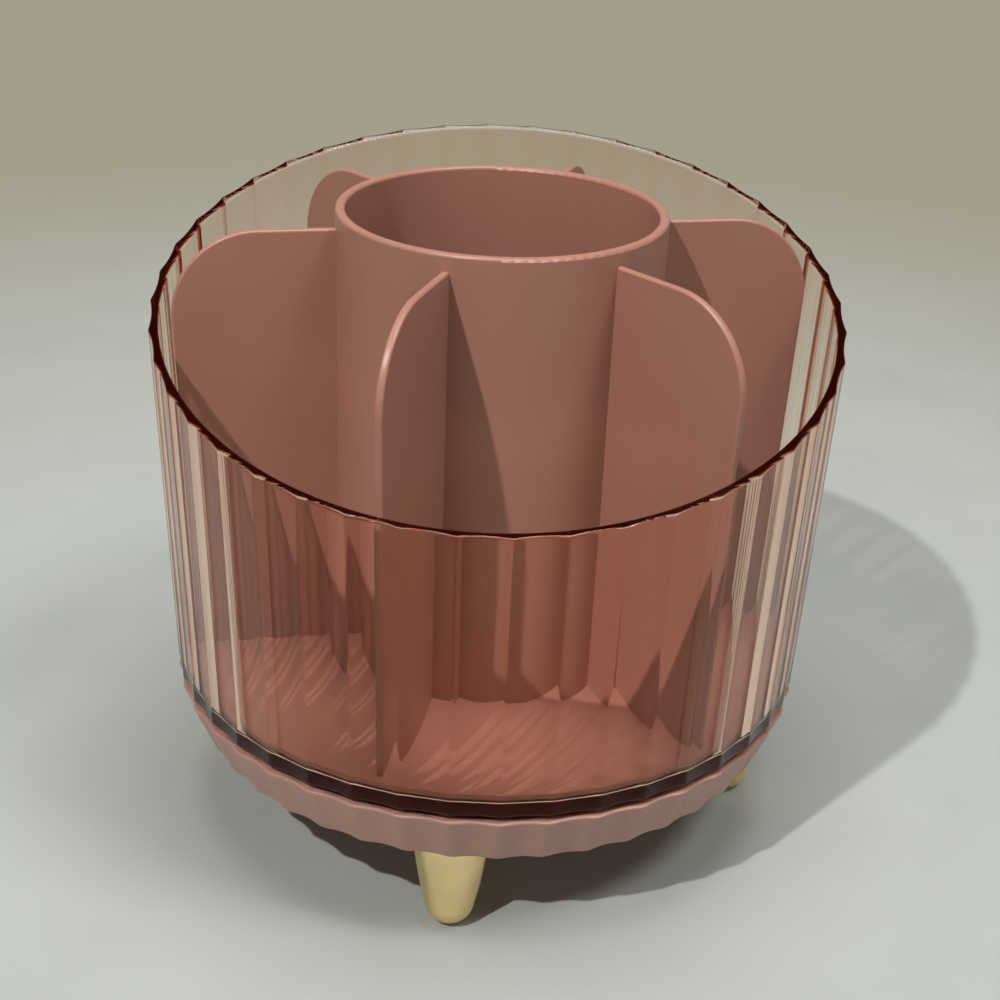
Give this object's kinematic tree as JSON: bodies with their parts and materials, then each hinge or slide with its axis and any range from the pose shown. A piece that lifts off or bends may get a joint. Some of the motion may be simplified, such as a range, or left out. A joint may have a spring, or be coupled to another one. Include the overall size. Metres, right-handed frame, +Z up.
{
  "type": "rotating pen holder",
  "caption": "Round desk organiser: clear fluted cup with a slanted rim turns on a footed base and holds a lift-out insert with a middle tube and radial dividers.",
  "frame": {"origin": "on the turning axis, at the level of the table under the feet", "axes": "+Z up along the turning axis; -Y towards the low side of the rim, which is the front; +X to the right seen from the front"},
  "size_m": [0.1397, 0.1397, 0.1309],
  "materials": {
    "clear_pink": "clear pink tinted, polished",
    "pink_insert": "dusty pink, satin moulded",
    "pink_base": "dusty pink, satin moulded",
    "plated_gold": "plated champagne gold, polished",
    "pressed_steel": "zinc plated sheet",
    "screw_steel": "zinc plated",
    "ball_steel": "ground and polished",
    "natural_nylon": "natural white moulded"
  },
  "bodies": {
    "base": {"base_dish": "pink_base", "foot_front": "plated_gold", "foot_right": "plated_gold", "foot_back": "plated_gold", "foot_left": "plated_gold", "foot_screws": "screw_steel", "lower_race": "pressed_steel", "race_screws": "screw_steel", "spindle_nut": "screw_steel", "spindle_screw": "screw_steel", "spindle_sleeve": "screw_steel", "spindle_washer": "screw_steel"},
    "cup": {"outer_cup": "clear_pink", "upper_race": "pressed_steel", "cup_screws": "screw_steel", "spindle_bush": "natural_nylon"},
    "ball_ring": {"ball_cage": "natural_nylon", "bearing_balls": "ball_steel"},
    "insert": {"divider_insert": "pink_insert"}
  },
  "joints": [
    {"name": "turntable_spin", "type": "hinge", "parent": "base", "child": "cup", "pos_m": [0, 0, 0.0272], "axis": [0, 0, 1], "continuous": true},
    {"name": "ball_ring_spin", "type": "hinge", "parent": "base", "child": "ball_ring", "pos_m": [0, 0, 0.0272], "axis": [0, 0, 1], "continuous": true},
    {"name": "insert_lift", "type": "slide", "parent": "cup", "child": "insert", "axis": [0, 0, 1], "range_m": [0, 0.0967]}
  ],
  "couplings": [
    {"joint": "ball_ring_spin", "follows": "turntable_spin", "ratio": 0.5}
  ]
}
